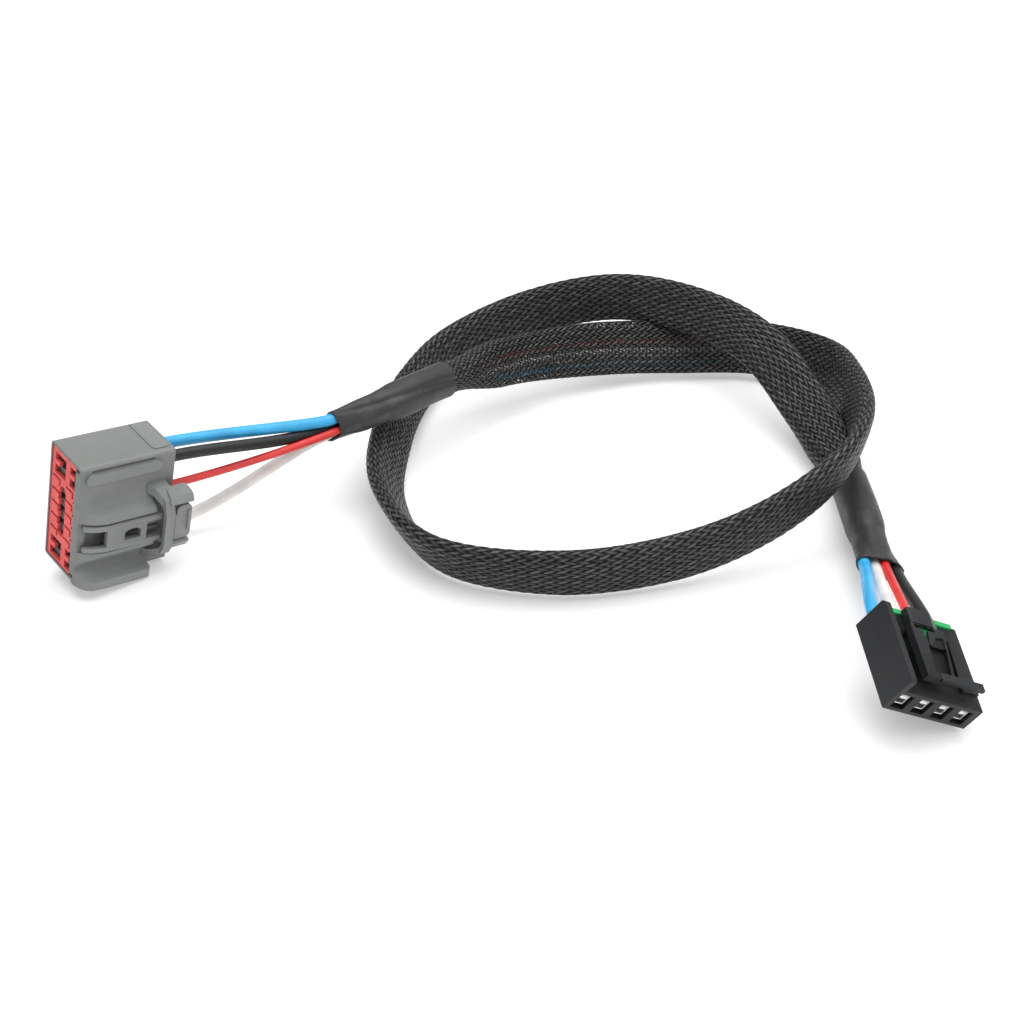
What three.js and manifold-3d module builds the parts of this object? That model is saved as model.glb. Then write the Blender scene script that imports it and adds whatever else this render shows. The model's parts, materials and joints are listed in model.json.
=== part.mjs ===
// Four-wire adapter harness for a trailer brake controller: a vehicle plug, a braided cable laid in one
// open loop, and a controller plug. Millimetres, +Z up, resting on z = 0.

import * as THREE from 'three';
import { LoftGeometry } from 'three/addons/geometries/LoftGeometry.js';
import { mergeVertices } from 'three/addons/utils/BufferGeometryUtils.js';
import Module from 'manifold-3d';

const wasm = await Module();
wasm.setup();

// ---------- driving dimensions ----------

const GAP = 0.3;                    // clearance between pieces that move or nest
const PAST = 1;                     // how far a cutter runs past the face it opens

const WIRE_SIDES = 7;               // facets round a wire
const CORE_SIDES = 5;               // facets round a conductor
const OVAL_SIDES = 14;              // facets round the sleeve and the heat shrinks
const CRIMP_SIDES = 10;

// Insulation and conductor radius of each wire.
const WIRES = {
  blue: { colour: 0x2f9fe0, outer: 1.68, core: 0.95 },
  black: { colour: 0x26272b, outer: 1.68, core: 0.95 },
  white: { colour: 0xe9e9e6, outer: 1.68, core: 0.95 },
  red: { colour: 0xd8343a, outer: 1.13, core: 0.6 },
};
const CORE_CLEARANCE = 0.12;        // between a conductor and its insulation

// Vehicle plug, in its own frame: x runs back from the mating face, y to the side away from the latch,
// z up, with the origin at the middle of the mating face.
const V_LENGTH = 27.8;
const V_WIDTH = 15.9;
const V_HEIGHT = 36;
const V_SIDE = -V_WIDTH / 2;        // the side that carries the latch
const V_RIM = 0.65;
const V_STRIP_FAR = 7;              // far end of the raised strip on top
const V_LOCK_NEAR = -5.4;           // near edge of the terminal lock's pocket
const V_LOCK_DEPTH = 1.5;
const V_LOCK_FRONT = 0.2;
const V_BIG_ROWS = [12.6, -13.4];
const V_SMALL_ROW_MIDDLE = -0.7;
const V_SMALL_ROW_PITCH = 4;
const V_COLUMNS = { far: 2.9, near: -3.6 };

// Latch arm of the vehicle plug.
const ARM_TOP = 0.95;
const ARM_BOTTOM = -7.2;
const ARM_THICK = 1.4;
const ARM_ROOT_X = 1.0;
const ARM_MIDDLE = (ARM_TOP + ARM_BOTTOM) / 2;
const ARM_GAP = 0.5;                // beside the arm, in its channel
const PAD_END = 30.8;               // rear edge of the thumb pad
const PAD_LENGTH = 4.6;
const PAD_TOP = 3.5;
const PAD_BOTTOM = -6.2;

// Controller plug, in its own frame: x across, y back from the mating face, z up, with the origin at the
// lower left corner of the mating face.
const C_WIDTH = 25.5;
const C_LENGTH = 24.6;
const C_HEIGHT = 7.8;
const C_WALL_TOP = 11.2;
const C_WALL_THICK = 1.6;
const C_PITCH = 6.1;
const C_FIRST = 3.3;
const C_CAVITY = { half: 1.95, bottom: 1, top: 6 };
const C_WIRE_Z = 3.7;
const C_LOCK_FLOOR = 6.5;
const C_WELL = { left: 5.7, right: 20.4, front: 4, shelf: 17.4 };
const C_BRIDGE = { left: 7.3, right: 14.1, foot: 19.4, front: 19.7, top: 10.9 };
const C_POCKET = 23.7;              // front of the lock's pocket
const C_TONGUE = { left: 10.3, right: 15.1, top: 9.7, front: 14.7 };
const C_BEAM = { left: 6.5, bottom: 8.7, plate: 10.1, top: 10.9, front: 3.6 };

// Where the two plugs lie beside the loop. Turns are about x, y and z, in degrees, z first.
const VEHICLE_POSE = { at: [-118.7, -26.1, 22.5], turn: [7.3, 8.7, 40.6] };
const CONTROLLER_POSE = { at: [86.7, -93.6, 11.7], turn: [17.1, 26.7, 14.9] };

// Stations of the cable's centreline, from the mouth of the vehicle-end heat shrink to the mouth of the
// controller-end one: x, y, z, then the lean of the ribbon's top edge towards the loop's middle in degrees.
const ROUTE = [
  [-51.6, 19.5, 22, 0],
  [-34.5, 36.5, 21, 0],
  [-19, 56.2, 18.3, -12],
  [2.5, 75, 14.6, -28],
  [28.6, 88, 11.5, -32],
  [55.2, 94.5, 8.8, -32],
  [80, 94, 8.6, -30],
  [98, 79, 11, -20],
  [103, 51, 16.5, -14],
  [100.2, 20, 21, -14],
  [90, -1, 20, -10],
  [70, -15.5, 13, -6],
  [45, -26.5, 8.6, -4],
  [12, -33, 7.7, -4],
  [-20, -24.5, 7.7, -10],
  [-36.7, 6, 7.6, -20],
  [-37.3, 40, 7.6, -26],
  [-30.5, 68, 8, -24],
  [-19.4, 90.4, 10, -18],
  [6, 105, 16, -16],
  [34, 104.5, 22, -16],
  [58, 92, 23.4, -24],
  [77, 71, 21.5, -40],
  [89.5, 52.5, 11, -58],
  [96.5, 31, 5.4, -76],
  [98, 0, 5.8, -82],
  [97.4, -32.6, 8, -80],
];

// Distances along the cable, measured in from the mouth of the heat shrink at either end.
const SHRINK_LENGTH = 50;
const SHRINK_WALL = 0.6;
const SHRINK_STEPS = 6;
const SHRINK_ACROSS = { bare: 10.1, sleeved: 11.4 };        // over the bare wires, over the sleeve's end
const SHRINK_RISE = 9;              // length of the step between the two
const SLEEVE_START = 25;
const SLEEVE_WALL = 0.5;
const OPENING = { from: 50, to: 70, flat: 95 };            // where the bundle spreads and then lies flat
const END_ZONE = 75;                // sections are close together this far in from each end
const END_STEPS = 9;
const MIDDLE_STEPS = 28;
const FAN_STEPS = 5;                // sections of a wire between a plug and the heat shrink

// Terminals and wire ends, measured back from a terminal's mouth.
const SHELL_LENGTH = 9;
const BARREL = { from: 9.8, to: 13.2, wall: 0.45 };
const CORE_START = 9.4;
const JACKET_START = 13.8;
const VEHICLE_MOUTH = 4.8;          // the terminal's mouth behind the mating face
const CONTROLLER_MOUTH = 0.8;
const VEHICLE_REACH = 16;           // how far a wire runs on before it bends, at each plug
const CONTROLLER_REACH = 7;

// Where each wire sits in the bundle, as [down the ribbon, out of its face].
const CLUSTER = { black: [-1.86, 0.6], white: [1.86, 0.6], red: [0, 3.14], blue: [0, -2.54] };
const SPREAD = { black: [-4.3, -0.3], white: [1.2, 1.5], red: [-1.85, 2.8], blue: [4, -2.3] };
const RIBBON = { black: [-4.9, 0], red: [-1.85, 0], white: [1.22, 0], blue: [4.85, 0] };
const BUNDLE_TURN = { vehicle: -70, controller: 73 };      // of the cluster, at each mouth, in degrees

// ---------- helpers ----------

const vector = (x, y, z) => new THREE.Vector3(x, y, z);
const radians = THREE.MathUtils.degToRad;
const mix = THREE.MathUtils.lerp;
const smooth = (value, low, high) => THREE.MathUtils.smoothstep(value, low, high);

// A closed three.js geometry as a manifold solid.
function solid(geometry) {
  const bare = geometry.clone();
  bare.deleteAttribute('normal');
  bare.deleteAttribute('uv');
  const merged = mergeVertices(bare, 1e-5);
  return new wasm.Manifold(new wasm.Mesh({
    numProp: 3,
    vertProperties: new Float32Array(merged.attributes.position.array),
    triVerts: new Uint32Array(merged.index.array),
  }));
}

// A manifold solid as a three.js geometry.
function geometryOf(manifold) {
  const mesh = manifold.getMesh();
  const geometry = new THREE.BufferGeometry();
  geometry.setAttribute('position', new THREE.BufferAttribute(new Float32Array(mesh.vertProperties), 3));
  geometry.setIndex(new THREE.BufferAttribute(new Uint32Array(mesh.triVerts), 1));
  geometry.computeVertexNormals();
  return geometry;
}

function block(x0, x1, y0, y1, z0, z1) {
  const geometry = new THREE.BoxGeometry(x1 - x0, y1 - y0, z1 - z0);
  geometry.translate((x0 + x1) / 2, (y0 + y1) / 2, (z0 + z1) / 2);
  return solid(geometry);
}

const AXES = {
  x: [vector(0, 1, 0), vector(0, 0, 1), vector(1, 0, 0)],     // a shape drawn in (y, z)
  y: [vector(0, 0, 1), vector(1, 0, 0), vector(0, 1, 0)],     // a shape drawn in (z, x)
  z: [vector(1, 0, 0), vector(0, 1, 0), vector(0, 0, 1)],     // a shape drawn in (x, y)
};

// A flat shape made into a prism along one axis.
function prism(shape, axis, from, to, curveSegments = 4) {
  const geometry = new THREE.ExtrudeGeometry(shape, { depth: to - from, bevelEnabled: false, curveSegments });
  geometry.translate(0, 0, from);
  geometry.applyMatrix4(new THREE.Matrix4().makeBasis(...AXES[axis]));
  return solid(geometry);
}

// A rectangle with round corners, centred on (cx, cy).
function roundedRectangle(cx, cy, width, height, radius) {
  const [left, right, bottom, top] = [cx - width / 2, cx + width / 2, cy - height / 2, cy + height / 2];
  const shape = new THREE.Shape();
  shape.moveTo(left + radius, bottom);
  shape.lineTo(right - radius, bottom);
  shape.absarc(right - radius, bottom + radius, radius, -Math.PI / 2, 0);
  shape.lineTo(right, top - radius);
  shape.absarc(right - radius, top - radius, radius, 0, Math.PI / 2);
  shape.lineTo(left + radius, top);
  shape.absarc(left + radius, top - radius, radius, Math.PI / 2, Math.PI);
  shape.lineTo(left, bottom + radius);
  shape.absarc(left + radius, bottom + radius, radius, Math.PI, Math.PI * 1.5);
  return shape;
}

function polygon(points) {
  return new THREE.Shape(points.map(([x, y]) => new THREE.Vector2(x, y)));
}

function material(color, roughness, metalness = 0) {
  return new THREE.MeshStandardMaterial({ color, roughness, metalness });
}

function piece(name, geometry, surface) {
  const mesh = new THREE.Mesh(geometry, surface);
  mesh.name = name;
  return mesh;
}

const PLASTIC = {
  grey: () => material(0x858a88, 0.55),
  black: () => material(0x1d1e20, 0.5),
  red: () => material(0xe2403f, 0.5),
  green: () => material(0x23a455, 0.5),
};
const TIN = () => material(0xc9cbcd, 0.3, 1);
const COPPER = () => material(0xc27a4a, 0.35, 1);

// ---------- cavities shared by the plug housings and their terminals ----------

function smallRows() {
  return [2, 1, 0, -1, -2].map((step) => V_SMALL_ROW_MIDDLE + step * V_SMALL_ROW_PITCH);
}

// Every cavity of the vehicle plug, as { y, z, big }.
function vehicleCavities() {
  const list = [];
  for (const y of Object.values(V_COLUMNS)) {
    for (const z of V_BIG_ROWS) list.push({ y, z, big: true });
    for (const z of smallRows()) list.push({ y, z, big: false });
  }
  return list;
}

// ---------- vehicle plug ----------

// The cheeks that swell out beside the latch: a side profile cut to a plan that eases out of the mouth.
function latchCheeks() {
  const profile = new THREE.Shape();
  profile.moveTo(V_SIDE + 1, 9.5);
  profile.lineTo(V_SIDE, 8.6);
  profile.quadraticCurveTo(V_SIDE - 0.2, 4.2, -10.9, 3);
  profile.quadraticCurveTo(-11.5, 2.6, -11.6, 1.6);
  profile.lineTo(-11.6, -7.8);
  profile.quadraticCurveTo(-11.5, -9.2, -10.6, -9.8);
  profile.quadraticCurveTo(V_SIDE - 0.2, -11, V_SIDE, -14);
  profile.lineTo(V_SIDE + 1, -14.4);
  const plan = new THREE.Shape();
  plan.moveTo(0, V_SIDE + 2);
  plan.lineTo(0, V_SIDE - 0.4);
  plan.quadraticCurveTo(2.6, -11, 6.6, -11.6);
  plan.lineTo(22, -11.6);
  plan.lineTo(22, V_SIDE + 2);
  return prism(profile, 'x', 0, 21.6).intersect(prism(plan, 'z', -16, 11));
}

// The foot rail along the lower edge of the latch side, with a round nose at the mouth.
function footRail() {
  const profile = new THREE.Shape();
  profile.moveTo(V_SIDE + 1.5, -18.6);
  profile.lineTo(V_SIDE + 1.5, -13.4);
  profile.lineTo(V_SIDE, -13.4);
  profile.quadraticCurveTo(V_SIDE - 0.5, -15.4, -12.9, -15.9);
  profile.lineTo(-12.9, -18.6);
  const plan = new THREE.Shape();
  plan.moveTo(0, V_SIDE + 2);
  plan.lineTo(0, V_SIDE - 0.2);
  plan.quadraticCurveTo(0.9, -12.9, 5.6, -12.9);
  plan.lineTo(19.9, -12.9);
  plan.lineTo(20.6, -12.1);
  plan.lineTo(20.6, V_SIDE + 2);
  return prism(profile, 'x', 0, 20.8).intersect(prism(plan, 'z', -20, -12));
}

// The strap that bridges the latch near its free end, and its two rearward wings.
function latchGuard() {
  const outer = polygon([
    [V_SIDE + 1.4, 9], [-10.6, 8.4], [-13.6, 5.6], [-14.9, 1.5],
    [-14.9, -8.4], [-13.4, -11.6], [-10.4, -13.4], [V_SIDE + 1.4, -13.8],
  ]);
  const inner = polygon([
    [V_SIDE, 6.4], [-10.4, 5.8], [-12.6, 3.8], [-13.5, 1.3], [-13.5, -7.9], [-12.6, -9.9], [-10.2, -11.4],
    [V_SIDE, -11.8],
  ]);
  const plan = polygon([[19.6, V_SIDE + 2], [19.6, V_SIDE - 0.4], [22.5, -13], [22.5, -16], [25.3, -16],
    [25.3, V_SIDE + 2]]);
  const strap = prism(outer, 'x', 19, 26)
    .subtract(prism(inner, 'x', 18, 27))
    .intersect(prism(plan, 'z', -16, 12));
  const topWing = polygon([
    [-10.4, 5.4], [-10.6, 8.4], [-13.4, 6.6], [-14.5, 4.8], [-14.3, 4.3], [-13.5, 4.5], [-12.4, 4.9],
  ]);
  const lobe = roundedRectangle(5.6, 26, 6, 10, 2.4);
  const lowWing = polygon([
    [-10.2, -10], [-10.4, -12], [-13.4, -10.3], [-14.9, -7.9], [-13.7, -7.5], [-12.6, -8.6],
  ]);
  return strap
    .add(prism(topWing, 'x', 24, 31).intersect(prism(lobe, 'y', -16, -9)))
    .add(prism(lowWing, 'x', 24, 30.4));
}

// What shows through the arm's windows: a catch ramp, and three ribs lying along the channel.
function channelFloor() {
  const ramp = polygon([[12.9, -6.5], [12.9, -7.2], [15.7, -9.3], [15.7, -6.5]]);
  let raised = prism(ramp, 'z', ARM_MIDDLE - 1.2, ARM_MIDDLE + 1.2);
  for (const offset of [-1.7, 0, 1.7]) {
    const z = ARM_MIDDLE + offset;
    raised = raised.add(block(18.9, 23.8, -9.5, -6.5, z - 0.45, z + 0.45));
  }
  return raised;
}

function vehicleHousing() {
  let body = prism(roundedRectangle(0, 0, V_WIDTH, V_HEIGHT, 0.9), 'x', 0, V_LENGTH, 3);
  const topStrip = new THREE.Shape();
  topStrip.moveTo(22, V_STRIP_FAR);
  topStrip.lineTo(22, -5);
  topStrip.quadraticCurveTo(22, -6.2, 23.2, -6.2);
  topStrip.lineTo(V_LENGTH - 1.8, -6.2);
  topStrip.quadraticCurveTo(V_LENGTH - 0.6, -6.2, V_LENGTH - 0.6, -5);
  topStrip.lineTo(V_LENGTH - 0.6, V_STRIP_FAR);
  body = body.add(prism(topStrip, 'z', V_HEIGHT / 2 - 1, V_HEIGHT / 2 + 0.25));

  const sideRail = roundedRectangle(14.3, 12.6, 3.2, 22.4, 1.5);
  body = body.add(prism(sideRail, 'y', V_SIDE - 0.8, V_SIDE + 1));
  body = body.subtract(block(3.2, 21.6, V_SIDE - PAST, V_SIDE + 0.45, 16.25, 16.7));

  body = body.add(latchCheeks()).add(footRail()).add(latchGuard());

  // Channel that the latch arm lies in, up to and under the guard, deeper behind the mouth.
  const [low, high] = [ARM_BOTTOM - ARM_GAP, ARM_TOP + ARM_GAP];
  body = body.subtract(block(-PAST, 33, -13.5, V_SIDE - 0.35, low, high));
  body = body.subtract(block(2.2, 33, -9, -7, low, high));
  body = body.add(channelFloor());

  // Pocket for the terminal lock, with a corner relief at each end.
  const lockTop = V_HEIGHT / 2 - V_RIM;
  body = body.subtract(block(-PAST, V_LOCK_DEPTH, V_LOCK_NEAR, V_WIDTH / 2 - V_RIM, -lockTop, lockTop));
  for (const end of [1, -1]) {
    const [z0, z1] = [end * (lockTop - 1.3), end * (lockTop - 0.3)].sort((a, b) => a - b);
    body = body.subtract(block(-PAST, 1.6, V_SIDE + 0.7, V_LOCK_NEAR + PAST, z0, z1));
  }

  for (const { y, z, big } of vehicleCavities()) {
    const [halfY, halfZ] = big ? [2.5, 2.7] : [1.9, 1.5];
    const [mouthY, mouthZ] = big ? [1.7, 1.3] : [1.5, 0.8];
    body = body.subtract(block(4.4, V_LENGTH + PAST, y - halfY, y + halfY, z - halfZ, z + halfZ));
    body = body.subtract(block(-PAST, 5, y - mouthY, y + mouthY, z - mouthZ, z + mouthZ));
  }
  return piece('vehicle_plug_housing', geometryOf(body), PLASTIC.grey());
}

// The comb-shaped lock plate that fills the mating face and holds the terminals in.
function vehicleLock() {
  const top = V_HEIGHT / 2 - V_RIM - GAP;
  const far = V_WIDTH / 2 - V_RIM - GAP;
  const near = V_LOCK_NEAR + GAP;
  let plate = block(V_LOCK_FRONT, V_LOCK_DEPTH - GAP, near, far, -top, top);

  // Large windows at the four corners, each crossed by a tongue from the far side.
  for (const z of V_BIG_ROWS) {
    for (const [windowFar, windowNear] of [[5.6, 0], [-2.2, near - PAST]]) {
      plate = plate.subtract(block(-PAST, 4, windowNear, windowFar, z - 3, z + 3));
      const tongue = [windowFar - 2.3, windowFar + 0.5];
      plate = plate.add(block(V_LOCK_FRONT, V_LOCK_DEPTH - GAP, ...tongue, z - 0.5, z + 0.8));
    }
  }

  // Bent slots of the small rows, and notches between them along the near edge.
  for (const z of smallRows()) {
    for (const slotFar of [6.4, -0.5]) {
      plate = plate.subtract(block(-PAST, 4, slotFar - 3.4, slotFar, z + 0.7, z + 1.4));
      plate = plate.subtract(block(-PAST, 4, slotFar - 4, slotFar - 3.3, z - 0.8, z + 1.4));
    }
    plate = plate.subtract(block(-PAST, 4, near - PAST, near + 0.6, z - 1.9, z - 1.1));
  }
  const slot = roundedRectangle(0.9, V_SMALL_ROW_MIDDLE + 0.2, 3.3, 15.6, 1.5);
  plate = plate.subtract(prism(slot, 'x', -PAST, 4));
  return piece('vehicle_plug_terminal_lock', geometryOf(plate), PLASTIC.red());
}

// The latch arm: rooted at the mouth, bowed out, and ending in a thumb pad behind the guard.
function vehicleLatch() {
  const outerY = -11.9;
  const plan = new THREE.Shape();
  plan.moveTo(ARM_ROOT_X, -9.9);
  plan.quadraticCurveTo(3, -11.4, 6.6, outerY);
  plan.lineTo(24.5, outerY - 0.6);
  plan.lineTo(26, -14.1);
  plan.lineTo(PAD_END, -14.1);
  plan.lineTo(PAD_END, -11.6);
  plan.lineTo(26.4, -11.1);
  plan.lineTo(6.6, outerY + ARM_THICK);
  plan.quadraticCurveTo(3.6, -10.2, ARM_ROOT_X, -8.9);
  const side = roundedRectangle(ARM_MIDDLE, (PAD_END - 10) / 2, ARM_TOP - ARM_BOTTOM, PAD_END + 10, 1.6);
  let arm = prism(plan, 'z', ARM_BOTTOM, ARM_TOP).intersect(prism(side, 'y', -16, -6));

  // Catch pocket open to the mouth, arched window, then the long window that runs under the guard.
  arm = arm.subtract(block(-PAST, 6.8, -16, -6, ARM_MIDDLE - 2.6, ARM_MIDDLE + 2.6));
  const arch = new THREE.Shape();
  arch.moveTo(ARM_MIDDLE - 1.6, 12);
  arch.lineTo(ARM_MIDDLE + 0.9, 12);
  arch.lineTo(ARM_MIDDLE + 1.7, 13.4);
  arch.lineTo(ARM_MIDDLE + 1.7, 15.2);
  arch.lineTo(ARM_MIDDLE + 0.9, 16.6);
  arch.lineTo(ARM_MIDDLE - 1.6, 16.6);
  arm = arm.subtract(prism(arch, 'y', -16, -6));
  arm = arm.subtract(block(18.4, 24.2, -16, -6, ARM_MIDDLE - 2.6, ARM_MIDDLE + 2.6));

  // The thumb pad stands taller than the arm, with a grip rib near its end.
  const padMiddle = (PAD_TOP + PAD_BOTTOM) / 2;
  const pad = roundedRectangle(padMiddle, PAD_END - PAD_LENGTH / 2, PAD_TOP - PAD_BOTTOM, PAD_LENGTH, 1.6);
  arm = arm.add(prism(pad, 'y', -14.1, -12.3));
  arm = arm.add(block(PAD_END - 1.3, PAD_END - 0.5, -14.6, -13.9, PAD_BOTTOM + 1.8, PAD_TOP - 1.8));
  return piece('vehicle_plug_latch', geometryOf(arm), PLASTIC.grey());
}

// ---------- controller plug ----------

function controllerHousing() {
  let body = block(0, C_WIDTH, 0, C_LENGTH, 0, C_HEIGHT);
  const wall = new THREE.Shape();
  wall.moveTo(1, 0);
  wall.lineTo(C_WALL_TOP - 0.5, 0);
  wall.lineTo(C_WALL_TOP, 0.5);
  wall.lineTo(C_WALL_TOP, C_LENGTH - 1.6);
  wall.quadraticCurveTo(C_WALL_TOP, C_LENGTH, C_WALL_TOP - 1.6, C_LENGTH);
  wall.lineTo(1, C_LENGTH);
  const wallBase = new THREE.Matrix4().makeBasis(vector(0, 0, 1), vector(0, 1, 0), vector(-1, 0, 0));
  const wallGeometry = new THREE.ExtrudeGeometry(wall, { depth: C_WALL_THICK, bevelEnabled: false });
  wallGeometry.applyMatrix4(wallBase);
  wallGeometry.translate(C_WALL_THICK, 0, 0);
  body = body.add(solid(wallGeometry));

  // Lowered front apron, and the well that the latch beam sinks into, with a shelf left at its rear corner.
  body = body.subtract(block(C_WALL_THICK, C_WIDTH + PAST, -PAST, 4.6, 7.2, C_HEIGHT + PAST));
  const well = polygon([
    [C_WELL.left, C_WELL.front], [C_WELL.right, C_WELL.front], [C_WELL.right + 0.9, C_BRIDGE.front],
    [C_BRIDGE.left + 0.9, C_BRIDGE.front], [C_WELL.left, C_WELL.shelf],
  ]);
  body = body.subtract(prism(well, 'z', C_LOCK_FLOOR, C_HEIGHT + PAST));

  // Bridge over the lock's tongue, in front of which the latch is rooted. Its right flank slopes down.
  const bridge = polygon([
    [7, C_BRIDGE.left], [C_BRIDGE.top - 0.4, C_BRIDGE.left], [C_BRIDGE.top, C_BRIDGE.left + 0.4],
    [C_BRIDGE.top, C_BRIDGE.right], [C_HEIGHT, C_BRIDGE.foot], [7, C_BRIDGE.foot],
  ]);
  const bridgeSide = polygon([
    [C_BRIDGE.front, 7], [C_BRIDGE.front, 12], [C_LENGTH - 0.6, 12], [C_LENGTH, C_BRIDGE.top - 0.6],
    [C_LENGTH, 7],
  ]);
  body = body.add(prism(bridge, 'y', C_BRIDGE.front, C_LENGTH).intersect(prism(bridgeSide, 'x', 0, 30)));

  // Pocket for the lock: open to the rear, with a slot for its tongue under the bridge.
  body = body.subtract(block(2.4, 24.2, C_POCKET, C_LENGTH + PAST, C_LOCK_FLOOR, 8.5));
  const { left, right, top } = C_TONGUE;
  body = body.subtract(block(left, right, C_BRIDGE.front - PAST, C_LENGTH, C_LOCK_FLOOR, top));

  for (let index = 0; index < 4; index++) {
    const x = controllerCavityX(index);
    const { half, bottom } = C_CAVITY;
    body = body.subtract(block(x - half, x + half, -PAST, C_LENGTH + PAST, bottom, C_CAVITY.top));
  }
  return piece('controller_plug_housing', geometryOf(body), PLASTIC.black());
}

function controllerCavityX(index) {
  return C_FIRST + index * C_PITCH;
}

// The lock plate: a strip across the rear with one tongue reaching forward under the bridge.
function controllerLock() {
  const floor = C_LOCK_FLOOR + GAP;
  const strip = block(2.4 + GAP, 24.2 - GAP, C_POCKET + GAP, 25.4, floor, 8.2);
  const { left, right, top, front } = C_TONGUE;
  const tongue = block(left + GAP, right - GAP, front, 25, floor, top - GAP);
  return piece('controller_plug_terminal_lock', geometryOf(strip.add(tongue)), PLASTIC.green());
}

// The latch beam: a plate that narrows forward, sunk between its two rails, with a notch and a round-ended
// slot at the root, and a thumb bar in front that reaches out to the right.
function controllerLatch() {
  const { left, bottom, plate, top, front } = C_BEAM;
  const back = C_BRIDGE.front - GAP;
  const outline = polygon([[left, front], [15.1, front], [17.1, back], [left, back]]);
  let beam = prism(outline, 'z', bottom, top);
  const sunk = polygon([[9.3, 5], [14.4, 5], [15.8, 13.6], [10.2, 13.6]]);
  const shallow = polygon([[11, 13], [15.4, 13], [16.1, 16.8], [13.4, 16.4]]);
  beam = beam.subtract(prism(sunk, 'z', 9.5, top + PAST));
  beam = beam.subtract(prism(shallow, 'z', 10.5, top + PAST));
  beam = beam.subtract(block(left + PAST, 16.4, 13.8, back + PAST, bottom - PAST, plate));
  const notch = polygon([[9.5, back + PAST], [12, back + PAST], [10.7, 13.1]]);
  beam = beam.subtract(prism(notch, 'z', bottom - PAST, top + PAST));
  const slot = roundedRectangle(10.7, back - 0.7, 6.6, 1.2, 0.55);
  beam = beam.subtract(prism(slot, 'z', bottom - PAST, top + PAST));
  const bar = roundedRectangle(top - 0.5, 17.7, 1.3, 13.4, 0.4);
  beam = beam.add(prism(bar, 'y', 3.3, 5.3, 2));
  return piece('controller_plug_latch', geometryOf(beam), PLASTIC.black());
}

// ---------- terminals ----------

// A receptacle in its own frame: open mouth at x = 0, crimp barrel behind it.
function terminal(name, width, height, coreRadius) {
  const wall = 0.35;
  let body = block(0, SHELL_LENGTH, -width / 2, width / 2, -height / 2, height / 2);
  body = body.subtract(block(-PAST, SHELL_LENGTH - 0.6, -width / 2 + wall, width / 2 - wall,
    -height / 2 + wall, height / 2 - wall));

  // Spring contact folded back inside the shell, reaching its mouth.
  body = body.add(block(0, SHELL_LENGTH, -width * 0.36, width * 0.36, height * 0.06, height * 0.34));

  const inner = coreRadius + CORE_CLEARANCE;
  const outer = inner + BARREL.wall;
  const length = BARREL.to - BARREL.from;
  const tube = new THREE.CylinderGeometry(outer, outer, length, CRIMP_SIDES);
  tube.rotateZ(Math.PI / 2);
  tube.translate((BARREL.from + BARREL.to) / 2, 0, 0);
  const bore = new THREE.CylinderGeometry(inner, inner, length + 4, CRIMP_SIDES);
  bore.rotateZ(Math.PI / 2);
  bore.translate((BARREL.from + BARREL.to) / 2 + 1.4, 0, 0);
  const strap = block(SHELL_LENGTH - 0.5, BARREL.to, -outer / 2, outer / 2, -height / 2, -inner * 0.6);
  body = body.add(solid(tube)).add(strap).subtract(solid(bore));
  return piece(name, geometryOf(body), TIN());
}

// Which cavity each wire runs to, in each plug's own frame.
const VEHICLE_EXIT = {
  blue: [V_COLUMNS.far, V_BIG_ROWS[0]],
  black: [V_COLUMNS.near, V_BIG_ROWS[0]],
  red: [V_COLUMNS.near, smallRows()[1]],
  white: [V_COLUMNS.far, V_BIG_ROWS[1]],
};
const CONTROLLER_EXIT = { blue: 0, white: 1, red: 2, black: 3 };

// ---------- cable ----------

const route = new THREE.CatmullRomCurve3(ROUTE.map(([x, y, z]) => vector(x, y, z)), false, 'centripetal');
route.arcLengthDivisions = 800;
const ROUTE_LENGTH = route.getLength();

// Position and axes of the ribbon at a distance along the route: down its width, and out of its face.
function ribbonAt(distance) {
  const along = THREE.MathUtils.clamp(distance / ROUTE_LENGTH, 0, 1);
  const stretch = route.getUtoTmapping(along) * (ROUTE.length - 1);
  const before = Math.min(Math.floor(stretch), ROUTE.length - 2);
  const lean = radians(mix(ROUTE[before][3], ROUTE[before + 1][3], stretch - before));
  const tangent = route.getTangentAt(along);
  const level = vector(0, 0, 1).cross(tangent).negate().normalize();
  const upright = level.clone().cross(tangent);
  const down = upright.clone().multiplyScalar(-Math.cos(lean)).addScaledVector(level, -Math.sin(lean));
  const face = level.clone().multiplyScalar(Math.cos(lean)).addScaledVector(upright, -Math.sin(lean));
  return { centre: route.getPointAt(along), tangent, down, face };
}

// Distances of the cable's sections, closer together at both ends.
function sectionDistances() {
  const list = [];
  for (let step = 0; step < END_STEPS; step++) list.push(END_ZONE * step / END_STEPS);
  const middle = ROUTE_LENGTH - 2 * END_ZONE;
  for (let step = 0; step <= MIDDLE_STEPS; step++) list.push(END_ZONE + middle * step / MIDDLE_STEPS);
  for (let step = END_STEPS - 1; step >= 0; step--) list.push(ROUTE_LENGTH - END_ZONE * step / END_STEPS);
  return list;
}

// Offset of a wire's centre from the ribbon's centreline, as [down, face]. The wires are clustered and
// turned at either end, and lie side by side in between.
function bundleOffset(colour, distance) {
  const inward = Math.min(distance, ROUTE_LENGTH - distance);
  const end = distance < ROUTE_LENGTH / 2 ? 'vehicle' : 'controller';
  const opening = smooth(inward, OPENING.from, OPENING.to);
  const flattening = smooth(inward, OPENING.to, OPENING.flat);
  const turn = radians(BUNDLE_TURN[end]) * (1 - smooth(inward, 12, OPENING.from + 8));
  const [down, face] = CLUSTER[colour];
  const turned = [
    down * Math.cos(turn) - face * Math.sin(turn),
    down * Math.sin(turn) + face * Math.cos(turn),
  ];
  return turned.map((value, axis) => mix(
    mix(value, SPREAD[colour][axis], opening),
    RIBBON[colour][axis],
    flattening,
  ));
}

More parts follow.
